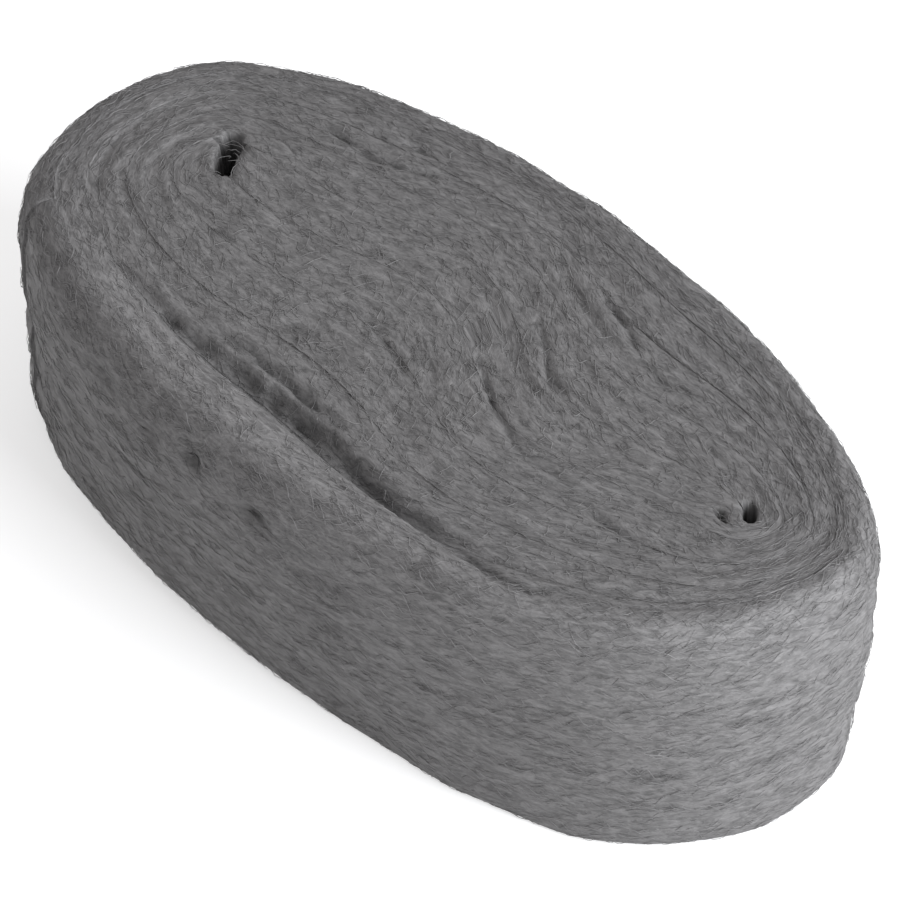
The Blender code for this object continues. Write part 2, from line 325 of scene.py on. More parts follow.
def wound_point(angle, layer, rise, inset=0.0):
    """(1 - share) x pin line + share x outline, where share is the layer over all layers. Layers
    below zero lie across the pin line, so they are measured towards the outline on that side.
    The S pushes the point sideways. Rounded rim and foot, tuck, side crease, relief and inset
    pull it inwards, and the flare pushes the rim out and the foot in."""
    angle = np.where(layer < 0, -angle, angle)
    layer = np.abs(layer)
    share = layer / layers_at(angle)
    out_x, out_y = outline(angle)
    swing = np.cos(angle) / np.hypot(np.cos(angle), PIN_SOFTNESS)
    pin_x, pin_y = (
        (left + right) / 2 + (right - left) / 2 * swing for left, right in zip(LEFT_PIN, RIGHT_PIN))
    x = (1 - share) * pin_x + share * out_x
    y = (1 - share) * pin_y + share * out_y
    y = y + sway(x) * (1 - share)
    from_middle = np.abs(2 * rise - 1)
    edge_round = np.where(rise > 0.5, RIM_ROUND, FOOT_ROUND)
    pull = FLARE * (2 * rise - 1)
    pull = pull - edge_round * (
        1 - np.clip(1 - from_middle**RIM_POWER, 0, 1) ** (1 / RIM_POWER))
    pull = pull - TUCK * angle_bell(angle, TUCK_ANGLE, TUCK_REACH) * (1 - rise) ** TUCK_POWER
    crease_window = angle_bell(angle, SIDE_CREASE_ANGLE, SIDE_CREASE_REACH)
    crease_level = bell(rise * HEIGHT, SIDE_CREASE_HEIGHT, SIDE_CREASE_SPREAD)
    pull = pull - SIDE_CREASE_DEPTH * crease_window * crease_level
    pull = (pull - outside_relief(angle, rise * HEIGHT) - inset) * share**INWARD_POWER
    x = x + pull * np.cos(angle) + LEAN_ALONG * (rise - 0.5)
    y = y + pull * np.sin(angle) + LEAN_ACROSS * (rise - 0.5)
    near = np.clip(-np.sin(angle), 0, 1)
    lip = LIP_RISE * bell(x, LIP_MIDDLE, LIP_REACH) * share**LIP_TURN_POWER
    lift = near * (lip - crevice(x, angle, layer, share)) * rise**TOP_POWER
    return np.stack([x, y, rise * HEIGHT + lift], axis=-1)


print("middle of the S in mm:", np.round(wound_point(np.pi / 2, np.array(0.0), 1.0) / MM, 1))


# %% [markdown]
# ## Stations along the band
#
# The band starts at one free end, winds inwards, crosses in the S and winds outwards again. Its
# centre line is followed with steps of even length, so that fibres and relief have the same
# scale on every turn. The same stations give the band's body and the face that fibres lie on.

# %% Walk along the band
ANGLE_STEP, FARTHEST_TURNING = 0.25, 1000.0
# Layers that the free end's thickness makes up
END_SHARE = FREE_END_THICKNESS * LAYERS / ((WRAP_AT_LEFT + WRAP_AT_RIGHT) / 2)
STATION_STEP = 1.41 * MM


def strand_stations(start):
    """Angles in degrees at even steps of centre-line length, from the S out to the free end."""
    angles = np.arange(start + ANGLE_STEP, start + FARTHEST_TURNING, ANGLE_STEP)
    layer = (angles - start) / HALF_TURN
    angles = angles[layers_at(np.radians(angles)) - (layer - 0.5) > END_SHARE]
    centre = wound_point(np.radians(angles), (angles - start) / HALF_TURN, 0.5)
    travel = np.concatenate([[0], np.cumsum(np.linalg.norm(np.diff(centre, axis=0), axis=1))])
    steps = np.arange(0, travel[-1], STATION_STEP)
    return np.interp(steps, travel, angles)


def band_walls(start, angles):
    """Inner and outer wall, in layers, of a strand at these angles. The last turn thins out."""
    layer = (angles - start) / HALF_TURN
    gap = TURN_GAP / 2 * LAYERS / min(WRAP_AT_LEFT, WRAP_AT_RIGHT)
    return layer - 0.5 + gap, np.minimum(layer + 0.5 - gap, layers_at(np.radians(angles)))


STRAND_ENDS = [(start, strand_stations(start)[-1]) for start in (LEFT_START, RIGHT_START)]


def outer_layer(angle):
    """Layer of the outside at an angle: the outer wall of the strand that lies outermost there.
    It is short of the outline past each free end, where the last turn has thinned out."""
    outermost = np.zeros(np.shape(angle))
    for start, last in STRAND_ENDS:
        turned = last - np.mod(last - np.degrees(angle), FULL_TURN)
        wall = np.minimum((turned - start) / HALF_TURN + 0.5, layers_at(angle))
        outermost = np.maximum(outermost, wall)
    return outermost


def band_points(across, rise, inset=0.0):
    """Points of the whole band. across runs from 0 to 1 over its thickness, seen from one side
    of the band all the way, and rise from 0 to 1 over its height. One row for each station."""
    rows = []
    for start, flip in ((LEFT_START, True), (RIGHT_START, False)):
        angles = strand_stations(start)
        inner, outer = band_walls(start, angles)
        share = 1 - across if flip else across
        layers = inner[:, None] + (outer - inner)[:, None] * share[None, :]
        angle = np.broadcast_to(np.radians(angles)[:, None], layers.shape)
        points = wound_point(angle, layers, np.broadcast_to(rise, layers.shape), inset)
        rows.append(points[::-1] if flip else points)
    return np.concatenate(rows)


WALL_ROWS = 9
heights = np.repeat(np.linspace(0, 1, WALL_ROWS), 2)
plain_walls = band_points(np.tile([0.0, 1.0], WALL_ROWS), heights)
low_plain, high_plain = plain_walls.min(axis=(0, 1)), plain_walls.max(axis=(0, 1))
TO_MIDDLE = np.array([*(-(low_plain + high_plain) / 2)[:2], 0.0])
STATIONS = len(plain_walls)
print("stations along the band:", STATIONS, "shift to the middle in mm:", TO_MIDDLE * 1000)

# %% Painted shade and highlight
# Strength of the painted shade in creases, the most that a crease counts, and strength of the
# painted shade in the side's pits
CREASE_PAINTED_SHADE, DEEPEST, PIT_PAINTED_SHADE = 0.48, 1.5, 0.60
# Places of the side's pits, where painted shade darkens the wool as well as the carved pit
PIT_PLACES = [
    wound_point(np.radians(angle), layers_at(np.radians(angle)), rise) + TO_MIDDLE
    for angle, rise, *_ in SIDE_PITS]


def painted_shade_and_highlight(points, deep):
    """Share of its colour that wool keeps, as painted light: painted shade makes it less down in a
    crease or hole and in the pits of the near side, and a painted highlight makes it more on the
    near lip."""
    lip = near_line(points[..., 0], points[..., 1], LIP_LINE, LIP_HALF_WIDTH)
    lip = lip * bell(points[..., 2], HEIGHT, LIP_HALF_HEIGHT * MM)
    pits = np.zeros(points.shape[:-1])
    for place, (_, _, half_length, half_height, depth) in zip(PIT_PLACES, SIDE_PITS):
        window = bell(points[..., 0], place[0], half_length * MM) * (points[..., 1] < 0)
        window = window * bell(points[..., 2], place[2], half_height * MM)
        pits = np.maximum(pits, window * depth / SIDE_PITS[0][-1])
    # Painted shade: darker in creases, holes and the side's pits. Painted highlight: lighter on the
    # near lip.
    shade = 1 - CREASE_PAINTED_SHADE * np.clip(deep, 0, DEEPEST) - PIT_PAINTED_SHADE * pits
    return np.maximum(shade, 0) + LIP_PAINTED_HIGHLIGHT * lip


print("pit places in mm:", [np.round(place / MM).astype(int).tolist() for place in PIT_PLACES])


# %% [markdown]
# ## A fast mesh maker
#
# Blender's mesh operators are slow for a million faces. Arrays of points and faces can be handed
# over whole, with values for each point, such as the brightness of a fibre.

# %% Mesh maker and normals
CUBIC_CM, NEVER_ZERO = 1e6, 1e-12


def volume_inside(points, quads, triangles):
    """Volume in cubic centimetres, as the sum of a . (b x c) / 6 over all faces cut into
    triangles. It is above zero when the faces look outwards."""
    faces = np.concatenate([quads[:, :3], quads[:, [0, 2, 3]], triangles])
    a, b, c = (points[faces[:, corner]] for corner in range(3))
    return float((a * np.cross(b, c)).sum() / 6 * CUBIC_CM)


def make_mesh(name, points, quads, triangles, attributes):
    """Mesh object from arrays: vertices, four-sided and three-sided faces, and point values."""
    mesh = bpy.data.meshes.new(name)
    corners = np.concatenate([quads.ravel(), triangles.ravel()]).astype(np.int32)
    counts = np.concatenate([np.full(len(quads), 4), np.full(len(triangles), 3)])
    starts = np.concatenate([[0], np.cumsum(counts)[:-1]]).astype(np.int32)
    mesh.vertices.add(len(points))
    mesh.vertices.foreach_set("co", points.astype(np.float32).ravel())
    mesh.loops.add(len(corners))
    mesh.loops.foreach_set("vertex_index", corners)
    mesh.polygons.add(len(counts))
    mesh.polygons.foreach_set("loop_start", starts)
    mesh.update(calc_edges=True)
    mesh.shade_smooth()
    for label, values in attributes.items():
        kind = "FLOAT" if values.ndim == 1 else "FLOAT_VECTOR"
        layer = mesh.attributes.new(label, kind, "POINT")
        field = "value" if values.ndim == 1 else "vector"
        layer.data.foreach_set(field, values.astype(np.float32).ravel())
    thing = bpy.data.objects.new(name, mesh)
    bpy.context.scene.collection.objects.link(thing)
    print(name, "triangles:", 2 * len(quads) + len(triangles), "valid:",
          not mesh.validate(clean_customdata=False), "volume:",
          round(volume_inside(points, quads, triangles), 2))
    return thing


def grid_normals(points):
    """Unit normals of a grid of points: the cross product of its two directions of change."""
    normal = np.cross(np.gradient(points, axis=0), np.gradient(points, axis=1))
    return normal / np.maximum(np.linalg.norm(normal, axis=-1, keepdims=True), NEVER_ZERO)


# %% [markdown]
# ## The band's body
#
# The body is a loft: the band's section, a rectangle with soft corners, stands at every station.
# Its upper face gets streaks and lumps that run along the band. They fade to nothing at both
# walls, so neighbouring turns meet flush. The body is also set back by the depth of the fibres'
# layer, so the fibres lie on it and do not drown in it.

# %% Loft the body
BODY_CORNER = 0.1 * MM
PIT_ROWS = (0.82, 0.84, 0.86)
CORNER_POINTS = 2
SECTION_TOP, SECTION_WALL, SECTION_FOOT = 17, 22 + len(PIT_ROWS), 5


def body_section():
    """Closed section, counter-clockwise from the foot of one wall, as across and rise."""
    corner_across, corner_up = BODY_CORNER / MEAN_LAYER, BODY_CORNER / HEIGHT
    quarter = np.linspace(0, np.pi / 2, CORNER_POINTS + 2)[1:-1]
    wall = 0.5 - 0.5 * np.cos(np.linspace(0, np.pi, SECTION_WALL - len(PIT_ROWS)))
    wall = np.sort(np.append(corner_up + (1 - 2 * corner_up) * wall, PIT_ROWS))
    top = np.linspace(1 - corner_across, corner_across, SECTION_TOP)
    foot = np.linspace(corner_across, 1 - corner_across, SECTION_FOOT)
    bow, lift = corner_across * (1 - np.sin(quarter)), corner_up * (1 - np.cos(quarter))
    across = np.concatenate([
        np.ones(SECTION_WALL), 1 - bow[::-1], top, bow, np.zeros(SECTION_WALL),
        bow[::-1], foot, 1 - bow])
    rise = np.concatenate([
        wall, 1 - lift[::-1], np.ones(SECTION_TOP), 1 - lift, wall[::-1],
        lift[::-1], np.zeros(SECTION_FOOT), lift])
    return across, rise


across, rise = body_section()
plain_rings = band_points(across, rise) + TO_MIDDLE
plain_points = np.concatenate([plain_rings, plain_rings[:, :1]], axis=1)
steps_round = np.linalg.norm(np.diff(plain_points, axis=1), axis=-1)
round_travel = np.concatenate([np.zeros((STATIONS, 1)), np.cumsum(steps_round, axis=1)], axis=1)
along_travel = np.broadcast_to(np.arange(STATIONS)[:, None] * STATION_STEP, round_travel.shape)
print("body grid:", plain_points.shape)

# %% Carve the body
FIBRE_LAYER = 0.12 * MM
EDGE_STREAK_LONG, EDGE_STREAK_WIDE, EDGE_STREAK_DEEP, EDGE_STREAK_SEED = 9 * MM, 1.5 * MM, 0.8, 3
EDGE_LUMP_LONG, EDGE_LUMP_WIDE, EDGE_LUMP_DEEP, EDGE_LUMP_SEED = 16 * MM, 4 * MM, 1.1, 5
WALL_FADE_POWER = 4
# The upper relief begins one zone below the rim and is whole one fade higher. The foot's set-back
# begins one zone above the foot and is whole one fade lower.
TOP_ZONE, TOP_FADE = 4 * MM, 3 * MM
FOOT_ZONE, FOOT_FADE = 3 * MM, 2 * MM


def edge_relief():
    """Depth below the plain upper face: streaks and lumps about their mean, along the band. It
    fades towards both walls with the fourth power, so neighbouring turns meet flush, and where
    the band is squeezed thin, so it does not fold into ridges."""
    streak = lattice_noise(
        along_travel / EDGE_STREAK_LONG, round_travel / EDGE_STREAK_WIDE, EDGE_STREAK_SEED)
    lump = lattice_noise(
        along_travel / EDGE_LUMP_LONG, round_travel / EDGE_LUMP_WIDE, EDGE_LUMP_SEED)
    fade = 1 - (2 * np.append(across, across[0]) - 1) ** WALL_FADE_POWER
    other_foot = 2 * SECTION_WALL + SECTION_TOP + 2 * CORNER_POINTS - 1
    thickness = np.linalg.norm(plain_rings[:, 0] - plain_rings[:, other_foot], axis=-1)
    fade = fade * np.clip(thickness / MEAN_LAYER, 0, 1)[:, None]
    return (EDGE_STREAK_DEEP * (streak - 0.5) + EDGE_LUMP_DEEP * (lump - 0.5)) * MM * fade


def carved_points(inset):
    """The band's surface with its relief, set back by an inset, and how deep its creases are."""
    rings = band_points(across, rise, inset) + TO_MIDDLE
    points = np.concatenate([rings, rings[:, :1]], axis=1)
    on_top = np.clip((points[..., 2] - HEIGHT + TOP_ZONE) / TOP_FADE, 0, 1)
    on_foot = np.clip((FOOT_ZONE - points[..., 2]) / FOOT_FADE, 0, 1)
    crease = crease_depth(points[..., 0], points[..., 1]) * on_top
    points[..., 2] -= (edge_relief() + inset) * on_top + crease
    points[..., 2] += inset * on_foot
    return points, crease


face_points = carved_points(0.0)[0]
body_points, crease = carved_points(FIBRE_LAYER)
holes = hole_shares(body_points[..., 0], body_points[..., 1])
for share, hole in zip(holes, HOLES):
    bottom = np.minimum(body_points[..., 2], HEIGHT - hole[4] * MM)
    body_points[..., 2] += share * (bottom - body_points[..., 2])
body_points[:, -1] = body_points[:, 0]
# Painted shade: darker down in the creases, and more so in the pins' holes
body_painted_light = painted_shade_and_highlight(body_points, crease / (DEEP * MM) + HOLE_PAINTED_SHADE * holes.max(axis=0))


def loft_faces(rings, round_points):
    """Quads between each ring and the next, round the section, and fans that close both ends."""
    first = np.arange(rings - 1)[:, None] * round_points + np.arange(round_points)[None, :]
    after = np.arange(rings - 1)[:, None] * round_points
    after = after + (np.arange(round_points)[None, :] + 1) % round_points
    return np.stack([after, first, first + round_points, after + round_points], -1).reshape(-1, 4)


# The attribute "lay" holds a place on the band in centimetres, along it and round its section
CENTIMETRES = 100
round_points = len(across)
quads = loft_faces(STATIONS, round_points)
spokes = np.arange(round_points)
after_spokes = (spokes + 1) % round_points
head, tail = STATIONS * round_points, STATIONS * round_points + 1
last_ring = (STATIONS - 1) * round_points
caps = np.concatenate([
    np.stack([spokes, after_spokes, np.full_like(spokes, head)], -1),
    np.stack([last_ring + after_spokes, last_ring + spokes, np.full_like(spokes, tail)], -1)])
ring_points = body_points[:, :-1]
end_middles = [ring_points[end].mean(axis=0)[None] for end in (0, -1)]
all_points = np.concatenate([ring_points.reshape(-1, 3), *end_middles])
weave_place = np.stack([along_travel, round_travel, np.zeros_like(round_travel)], -1)[:, :-1]
weave_place = np.concatenate([weave_place.reshape(-1, 3), np.zeros((2, 3))]) * CENTIMETRES
# Each body point's painted shade and highlight, and plain colour at the two end middles
painted_light = np.append(body_painted_light[:, :-1].ravel(), [1, 1])
wool_band = make_mesh("wool_band", all_points, quads, caps, {"lay": weave_place, "painted_light": painted_light})

# %% [markdown]
# ## Faces for the fibres to lie on
#
# A fibre is a curve on a face of the hank. Two tables of points give those faces: one follows
# the band's upper edge from end to end, the other goes round the outside, up the side and over
# the rim. Reading a table between its points is quick for a hundred thousand points at once.

# %% Tables of the upper face, the outside and the underside
TABLE_ROWS = 13
EDGE_OVERHANG = 0.8


def edge_table(first, last, overhang):
    """Face along the band's upper or lower edge: columns of the carved grid at even distances
    over its section, with one more column past each of its walls."""
    rows = np.linspace(first, last, TABLE_ROWS)
    low = np.floor(rows).astype(int)
    part = (rows - low)[None, :, None]
    table = face_points[:, low] * (1 - part) + face_points[:, np.minimum(low + 1, last)] * part
    before = table[:, :1] - overhang * (table[:, 1:2] - table[:, :1])
    after = table[:, -1:] + overhang * (table[:, -1:] - table[:, -2:-1])
    return np.concatenate([before, table, after], axis=1)


top_first = SECTION_WALL
top_last = top_first + SECTION_TOP + 2 * CORNER_POINTS - 1
foot_first = 2 * SECTION_WALL + SECTION_TOP + 3 * CORNER_POINTS
foot_last = foot_first + SECTION_FOOT + CORNER_POINTS - 1
top_table = edge_table(top_first, top_last, EDGE_OVERHANG)
foot_table = edge_table(foot_first, foot_last, EDGE_OVERHANG)

# The side's height along its curve is measured at one angle, in radians, on the near side
SIDE_COLUMNS, SIDE_ROWS = 460, 72
PROFILE_STEPS, PROFILE_ANGLE = 720, 5.0
even_rise = 0.5 - 0.5 * np.cos(np.linspace(0, np.pi, PROFILE_STEPS))
column_angles = np.interp(np.linspace(0, GIRTH, SIDE_COLUMNS + 1), WAIST_TRAVEL, DENSE_ANGLES)
profile = wound_point(
    np.full(PROFILE_STEPS, PROFILE_ANGLE), layers_at(PROFILE_ANGLE), even_rise)
profile_travel = np.append(0, np.cumsum(np.linalg.norm(np.diff(profile, axis=0), axis=1)))
SIDE_TALL = profile_travel[-1]
row_rise = np.interp(np.linspace(0, SIDE_TALL, SIDE_ROWS), profile_travel, even_rise)
side_angle, side_rise = np.meshgrid(column_angles, row_rise, indexing="ij")
side_table = wound_point(side_angle, outer_layer(side_angle), side_rise) + TO_MIDDLE
side_table[-1] = side_table[0]
print("girth and side height in mm:", round(GIRTH * 1000, 1), round(SIDE_TALL * 1000, 1))

# %% [markdown]
# ## Laying fibres
#
# One fibre is a thin tube with three sides and seven stretches, 44 triangles, so almost eighteen
# thousand of them stay under 800,000. Its path runs along the face, swings from side to side in
# two waves, rises and dips through the face, and ends below it. Neighbouring fibres share part
# of their brightness, which gives the soft mottling of real wool. Curve objects with a bevel
# would look the same, but one mesh with all the fibres is smaller and exports as it stands.

# %% Fibre maker
SIDES, STRETCHES = 3, 7
LOWEST_FIBRE = 0.3 * MM
SECOND_SWING, SECOND_SWING_TURNS, DIVE_POWER = 0.35, 5.1, 4
TIP_THINNING, TIP_POWER = 0.55, 3
JUST_UNDER = 1e-6
CLUMP_LONG, CLUMP_WIDE, SHARED_SHADE = 4.0 * MM, 1.5 * MM, 0.6


def read_table(table, column, row, wraps):
    """Value of a table between its points: a blend of the four around, first along, then across."""
    columns = len(table) - 1
    column = np.mod(column, columns) if wraps else np.clip(column, 0, columns - JUST_UNDER)
    row = np.clip(row, 0, table.shape[1] - 1 - JUST_UNDER)
    c, r = column.astype(int), row.astype(int)
    a, b = (column - c)[..., None], (row - r)[..., None]
    near = table[c, r] * (1 - b) + table[c, r + 1] * b
    far = table[c + 1, r] * (1 - b) + table[c + 1, r + 1] * b
    return near * (1 - a) + far * a


def fibre_paths(table, normals, wraps, spots, looks, cell):
    """Centre lines of fibres. Along: place + length x t. Across: place + tilt + two sine waves.
    Height over the face: a base, a slow wave, and a dive of the fourth power at both ends."""
    t = np.linspace(-0.5, 0.5, STRETCHES + 1)[None, :]
    rng = looks["rng"]
    count = len(spots)
    length = rng.uniform(*looks["length"], count)[:, None]
    phase = rng.uniform(0, 2 * np.pi, (3, count, 1))
    tilt = rng.normal(0, looks["tilt"], count)[:, None]
    wave = rng.uniform(*looks["wave"], count)[:, None]
    swing = wave * np.sin(2 * np.pi * length * t / looks["wave_length"] + phase[0])
    second = SECOND_SWING_TURNS * np.pi * length * t / looks["wave_length"] + phase[1]
    swing = swing + SECOND_SWING * wave * np.sin(second)
    along = spots[:, :1] + length * t
    across = spots[:, 1:] + length * t * tilt + swing
    base = rng.uniform(*looks["height"], count)[:, None]
    bob = looks["bob"] * np.sin(2 * np.pi * length * t / looks["bob_length"] + phase[2])
    height = base + bob - looks["dive"] * (2 * t) ** DIVE_POWER
    column, row = along / cell[0], across / cell[1] + cell[2]
    face = read_table(table, column, row, wraps)
    out = read_table(normals, column, row, wraps)
    paths = face + out * height[..., None]
    paths[..., 2] = np.maximum(paths[..., 2], LOWEST_FIBRE)
    clump = lattice_noise(spots[:, 0] / CLUMP_LONG, spots[:, 1] / CLUMP_WIDE, looks["seed"])
    shade = SHARED_SHADE * clump + (1 - SHARED_SHADE) * rng.random(count)
    return paths, out, shade


def lay_fibres(name, paths, outs, shade, looks):
    """Tubes round the paths. Ring point: path + radius x (cosine x sideways + sine x upward),
    three to a ring, and the radius shrinks with the third power towards both tips."""
    rng = looks["rng"]
    count, points = paths.shape[:2]
    ahead = np.gradient(paths, axis=1)
    ahead /= np.maximum(np.linalg.norm(ahead, axis=-1, keepdims=True), NEVER_ZERO)
    sideways = np.cross(ahead, outs)
    sideways /= np.maximum(np.linalg.norm(sideways, axis=-1, keepdims=True), NEVER_ZERO)
    upward = np.cross(sideways, ahead)
    radius = rng.uniform(*looks["radius"], count)[:, None, None, None]
    slim = 1 - TIP_THINNING * np.abs(np.linspace(-1, 1, points)) ** TIP_POWER
    spin = rng.uniform(0, 2 * np.pi, count)[:, None, None]
    turn = spin + (2 * np.pi / SIDES) * np.arange(SIDES)[None, None, :]
    cosine, sine = np.cos(turn)[..., None], np.sin(turn)[..., None]
    ring = cosine * sideways[:, :, None] + sine * upward[:, :, None]
    tube = paths[:, :, None] + ring * radius * slim[None, :, None, None]
    base = np.arange(count)[:, None, None] * points * SIDES
    row = np.arange(points - 1)[None, :, None] * SIDES
    side = np.arange(SIDES)[None, None, :]
    after = (side + 1) % SIDES
    a, b = base + row + side, base + row + after
    quads = np.stack([b, a, a + SIDES, b + SIDES], -1).reshape(-1, 4)
    start = np.arange(count)[:, None] * points * SIDES
    tip = start + (points - 1) * SIDES
    order = np.arange(SIDES)[None, :]
    triangles = np.concatenate([start + order, tip + order[:, ::-1]])
    # Fibres over the upper half take the creases' painted shade; all take the pits' painted shade
    # and the lip's painted highlight
    in_crease = crease_depth(paths[..., 0], paths[..., 1]) / (DEEP * MM)
    painted_light = painted_shade_and_highlight(paths, np.where(paths[..., 2] > HEIGHT / 2, in_crease, 0))
    looks_like = {
        "shade": np.repeat(shade, points * SIDES), "painted_light": np.repeat(painted_light.ravel(), SIDES)}
    fibres = make_mesh(name, tube.reshape(-1, 3), quads, triangles, looks_like)
    print(name, "fibres:", count)
    return fibres


print("triangles in one fibre:", 2 * SIDES * STRETCHES + 2)


# %% [markdown]
# ## Fibres on the upper face
#
# On the upper face the fibres follow the turns, the S among them. They leave the two larger
# holes free, apart from a few that cross them, as loose fibres do. The underside gets longer
# and fewer fibres, because it is pressed flat and seldom seen.

# %% Fibres along the upper and lower edges
top_normals = grid_normals(top_table)
top_normals *= np.sign(top_normals[..., 2:])
foot_normals = grid_normals(foot_table)
foot_normals *= -np.sign(foot_normals[..., 2:])
side_normals = grid_normals(side_table)
side_normals *= np.sign((side_normals[..., :2] * side_table[..., :2]).sum(-1, keepdims=True))
BAND_LENGTH = (STATIONS - 1) * STATION_STEP
# Size of a table's cell along and across, in metres, and the row where the face begins
edge_cell = (STATION_STEP, MEAN_LAYER / (TABLE_ROWS - 1), 1.0)
side_cell = (GIRTH / SIDE_COLUMNS, SIDE_TALL / (SIDE_ROWS - 1), 0.0)
CLEARED_HOLES, INSIDE_HOLE, CROSSING_SHARE = 2, 0.4, 0.06


def clear_of_holes(paths, outs, shade, rng):
    """Keep the fibres of which no point lies inside a hole, and a few that cross one."""
    hole_share = hole_shares(paths[..., 0], paths[..., 1])[:CLEARED_HOLES]
    inside = hole_share.max(axis=(0, 2)) > INSIDE_HOLE
    keep = ~inside | (rng.random(len(paths)) < CROSSING_SHARE)
    return paths[keep], outs[keep], shade[keep]


def edge_fibres(name, table, normals, count, looks):
    """Fibres at random places along the band's upper or lower edge: evenly spread over the
    band's length and its thickness."""
    spots = np.column_stack([
        looks["rng"].uniform(0, BAND_LENGTH, count), looks["rng"].uniform(0, MEAN_LAYER, count)])
    paths, outs, shade = fibre_paths(table, normals, False, spots, looks, edge_cell)
    paths, outs, shade = clear_of_holes(paths, outs, shade, looks["rng"])
    return lay_fibres(name, paths, outs, shade, looks)


def fibre_looks(seed, **changes):
    """The usual measures of a fibre, in metres, with some changed."""
    looks = dict(
        seed=seed, rng=np.random.default_rng(seed), length=(0.004, 0.009), tilt=0.25,
        wave=(0.0002, 0.0008), wave_length=0.005, height=(-0.0002, 0.0001), bob=0.00014,
        bob_length=0.005, dive=0.0005, radius=(0.00004, 0.00007))
    looks.update(changes)
    return looks


upper_fibres = edge_fibres(
    "upper_fibres", top_table, top_normals, count=4400, looks=fibre_looks(seed=11))
more_upper = edge_fibres(
    "upper_fibres_fine", top_table, top_normals, count=4000,
    looks=fibre_looks(
        seed=12, length=(0.0025, 0.006), tilt=0.5, wave=(0.0003, 0.0009), wave_length=0.004))
lower_fibres = edge_fibres(
    "lower_fibres", foot_table, foot_normals, count=900,
    looks=fibre_looks(seed=13, length=(0.010, 0.024), height=(-0.0003, 0.0), bob=0.0001))

# %% Fibres round the outside


def outside_fibres(name, count, looks, low=0.0, high=1.0):
    """Fibres at random places on the outside: evenly spread over the girth, and over the part of
    the side's height from low to high."""
    spots = np.column_stack([
        looks["rng"].uniform(0, GIRTH, count), looks["rng"].uniform(low, high, count) * SIDE_TALL])
    paths, outs, shade = fibre_paths(side_table, side_normals, True, spots, looks, side_cell)
    return lay_fibres(name, paths, outs, shade, looks)


side_fibres = outside_fibres("side_fibres", count=4500, looks=fibre_looks(
    seed=21, length=(0.005, 0.011), tilt=0.15, wave_length=0.006))
more_side = outside_fibres("side_fibres_fine", count=3600, looks=fibre_looks(
    seed=22, length=(0.003, 0.008), tilt=0.28, wave=(0.0003, 0.0009), wave_length=0.0045))
rim_fibres = outside_fibres("rim_fibres", count=400, looks=fibre_looks(
    seed=23, tilt=0.22, height=(0.0, 0.0002)), low=0.86, high=1.0)

# %% [markdown]
# ## Steel wool as a material
#
# One fibre is bright steel, but a mass of them looks mid grey and nearly matt, because light is
# caught between them. So both materials are only part metal. Each fibre has a brightness of its
# own. The body under them is darker, a painted shade that makes it read as the wool further in, and
# its streaks along the band vary its tone. The streaks are a noise stretched along the band, on the
# attribute that the loft wrote.

# %% Streak group
STREAK_DETAIL, STREAK_ROUGHNESS = 3.0, 0.55


def streak_group():
    """Mask of streaks from a place on the band, how long they are and how fine."""
    group = bpy.data.node_groups.new("wool_streaks", "ShaderNodeTree")
    face = group.interface
    face.new_socket("Place", in_out="INPUT", socket_type="NodeSocketVector")
    face.new_socket("Along", in_out="INPUT", socket_type="NodeSocketFloat")
    face.new_socket("Across", in_out="INPUT", socket_type="NodeSocketFloat")
    face.new_socket("Curl", in_out="INPUT", socket_type="NodeSocketFloat")
    face.new_socket("Streak", in_out="OUTPUT", socket_type="NodeSocketFloat")
    nodes, links = group.nodes, group.links
    inlet, outlet = nodes.new("NodeGroupInput"), nodes.new("NodeGroupOutput")
    scale = nodes.new("ShaderNodeCombineXYZ")
    stretch = nodes.new("ShaderNodeVectorMath")
    stretch.operation = "MULTIPLY"
    noise = nodes.new("ShaderNodeTexNoise")
    noise.inputs["Scale"].default_value = 1.0
    noise.inputs["Detail"].default_value = STREAK_DETAIL
    noise.inputs["Roughness"].default_value = STREAK_ROUGHNESS
    links.new(inlet.outputs["Along"], scale.inputs["X"])
    links.new(inlet.outputs["Across"], scale.inputs["Y"])
    links.new(inlet.outputs["Place"], stretch.inputs[0])
    links.new(scale.outputs["Vector"], stretch.inputs[1])
    links.new(stretch.outputs["Vector"], noise.inputs["Vector"])
    links.new(inlet.outputs["Curl"], noise.inputs["Distortion"])
    links.new(noise.outputs["Fac"], outlet.inputs["Streak"])
    return group


WOOL_STREAKS = streak_group()
print("node group:", WOOL_STREAKS.name)


def streaks(nodes, links, place, along, across, curl):
    """One use of the streak group: how many streaks a centimetre holds along and across."""
    node = nodes.new("ShaderNodeGroup")
    node.node_tree = WOOL_STREAKS
    node.inputs["Along"].default_value = along
    node.inputs["Across"].default_value = across
    node.inputs["Curl"].default_value = curl
    links.new(place.outputs["Vector"], node.inputs["Place"])
    return node


# %% Materials
WARM = (1.02, 0.995, 1.0)
BODY_METALLIC, BODY_ROUGHNESS = 0.2, 0.7
FIBRE_METALLIC, FIBRE_ROUGHNESS = 0.25, 0.6
# The body's greys lie below the fibres': painted shade of the wool further in
# Place on the ramp, and grey
BODY_GREYS = ((0.36, 0.078), (0.46, 0.12), (0.56, 0.165), (0.68, 0.21))
FIBRE_GREYS = ((0.0, 0.16), (0.45, 0.19), (0.85, 0.235), (1.0, 0.30))
# Streaks a centimetre along and across, and curl
COARSE_STREAKS, COARSE_SHARE = (2.6, 7.0, 1.0), 0.6
FINE_STREAKS, FINE_SHARE = (7.0, 18.0, 1.8), 0.4
BUMP_STRENGTH, BUMP_HEIGHT = 0.6, 0.5 * MM


